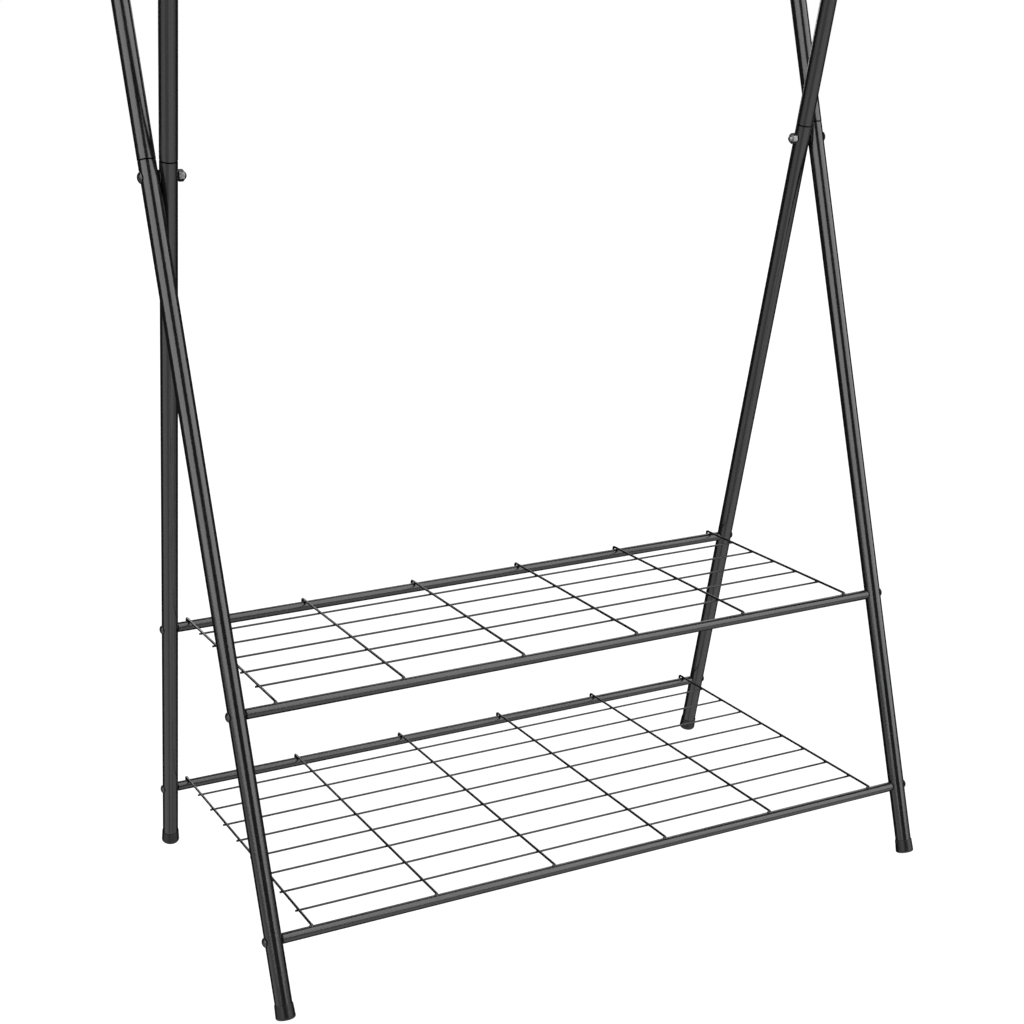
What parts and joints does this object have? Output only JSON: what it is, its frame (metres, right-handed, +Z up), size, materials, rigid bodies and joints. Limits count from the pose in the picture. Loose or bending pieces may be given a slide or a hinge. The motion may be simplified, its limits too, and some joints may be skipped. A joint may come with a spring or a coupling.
{
  "type": "garment rail",
  "caption": "Folding X-frame garment rail: crossed tube legs on pivot bolts, paired hanging rails and wire shelves hooked over a rear rail.",
  "frame": {"origin": "on the floor, midway between the four feet", "axes": "+X along the rails to the right, +Y from front to back, +Z up"},
  "size_m": [0.9734, 0.5856, 1.5305],
  "materials": {
    "powder_coat": "semi-gloss black powder coat",
    "wire_coat": "semi-gloss black powder coat on wire",
    "black_fastener": "black zinc",
    "zinc_steel": "zinc plated",
    "foot_plastic": "moulded",
    "plug_plastic": "moulded",
    "spacer_nylon": "moulded"
  },
  "bodies": {
    "outer_frame": {"left_outer_lower_leg": "powder_coat", "left_outer_upper_leg": "powder_coat", "left_front_foot": "foot_plastic", "left_outer_leg_plug": "plug_plastic", "right_outer_lower_leg": "powder_coat", "right_outer_upper_leg": "powder_coat", "right_front_foot": "foot_plastic", "right_outer_leg_plug": "plug_plastic", "left_pivot_bolt": "black_fastener", "left_cap_nut": "black_fastener", "left_pivot_spacer": "spacer_nylon", "right_pivot_bolt": "black_fastener", "right_cap_nut": "black_fastener", "right_pivot_spacer": "spacer_nylon", "rear_hanging_rail": "powder_coat", "rear_hanging_rail_inserts": "zinc_steel", "rear_hanging_rail_screws": "black_fastener"},
    "inner_frame": {"left_inner_lower_leg": "powder_coat", "left_inner_upper_leg": "powder_coat", "left_rear_foot": "foot_plastic", "left_inner_leg_plug": "plug_plastic", "right_inner_lower_leg": "powder_coat", "right_inner_upper_leg": "powder_coat", "right_rear_foot": "foot_plastic", "right_inner_leg_plug": "plug_plastic", "front_hanging_rail": "powder_coat", "front_hanging_rail_inserts": "zinc_steel", "front_hanging_rail_screws": "black_fastener", "upper_shelf_rear_rail": "powder_coat", "upper_shelf_rear_inserts": "zinc_steel", "upper_shelf_rear_screws": "black_fastener", "lower_shelf_rear_rail": "powder_coat", "lower_shelf_rear_inserts": "zinc_steel", "lower_shelf_rear_screws": "black_fastener"},
    "upper_shelf": {"upper_shelf_front_rail": "powder_coat", "upper_shelf_front_inserts": "zinc_steel", "upper_shelf_front_screws": "black_fastener", "upper_shelf_cross_wires": "wire_coat", "upper_shelf_long_wires": "wire_coat"},
    "lower_shelf": {"lower_shelf_front_rail": "powder_coat", "lower_shelf_front_inserts": "zinc_steel", "lower_shelf_front_screws": "black_fastener", "lower_shelf_cross_wires": "wire_coat", "lower_shelf_long_wires": "wire_coat"}
  },
  "joints": [
    {"name": "fold", "type": "hinge", "parent": "outer_frame", "child": "inner_frame", "pos_m": [0, 0, 0.982], "axis": [-1, 0, 0], "range_deg": [0, 29.5]},
    {"name": "upper_shelf_lift", "type": "hinge", "parent": "outer_frame", "child": "upper_shelf", "pos_m": [0, -0.17696, 0.366], "axis": [1, 0, 0], "range_deg": [0, 59]},
    {"name": "lower_shelf_lift", "type": "hinge", "parent": "outer_frame", "child": "lower_shelf", "pos_m": [0, -0.25409, 0.0975], "axis": [1, 0, 0], "range_deg": [0, 59]}
  ],
  "couplings": [
    {"joint": "upper_shelf_lift", "follows": "fold", "ratio": 2},
    {"joint": "lower_shelf_lift", "follows": "fold", "ratio": 2}
  ]
}
